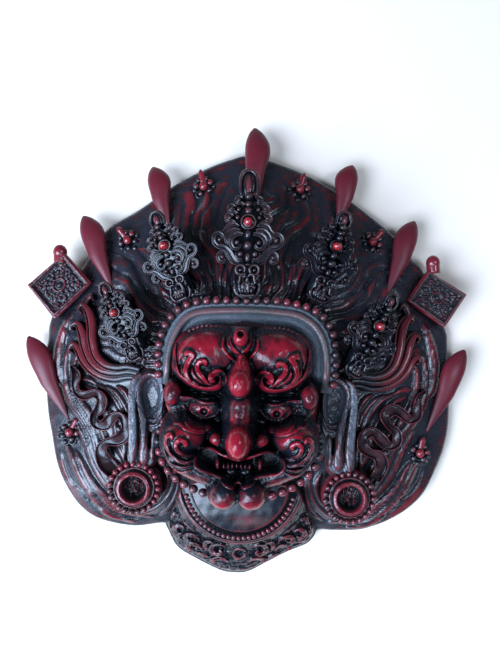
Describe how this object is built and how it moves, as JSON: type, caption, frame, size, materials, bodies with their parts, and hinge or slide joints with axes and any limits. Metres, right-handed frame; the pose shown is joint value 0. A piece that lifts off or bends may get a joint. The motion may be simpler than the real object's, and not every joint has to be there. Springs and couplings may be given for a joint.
{
  "type": "wrathful deity mask",
  "caption": "Hollow-backed resin casting of a three-eyed wrathful face under a skull crown, in a fan of flame hair with blades.",
  "frame": {"origin": "centre of the bounding box in plan, on the plane of the flat back rim", "axes": "+X to the right seen from the front, +Y to the crown, +Z out of the face; the mask lies on its back"},
  "size_m": [0.3006, 0.305, 0.104],
  "materials": {
    "resin": "deep red cast resin with a black patina in the recesses and a satin clear coat"
  },
  "bodies": {
    "root": {"mask": "resin"}
  },
  "joints": []
}
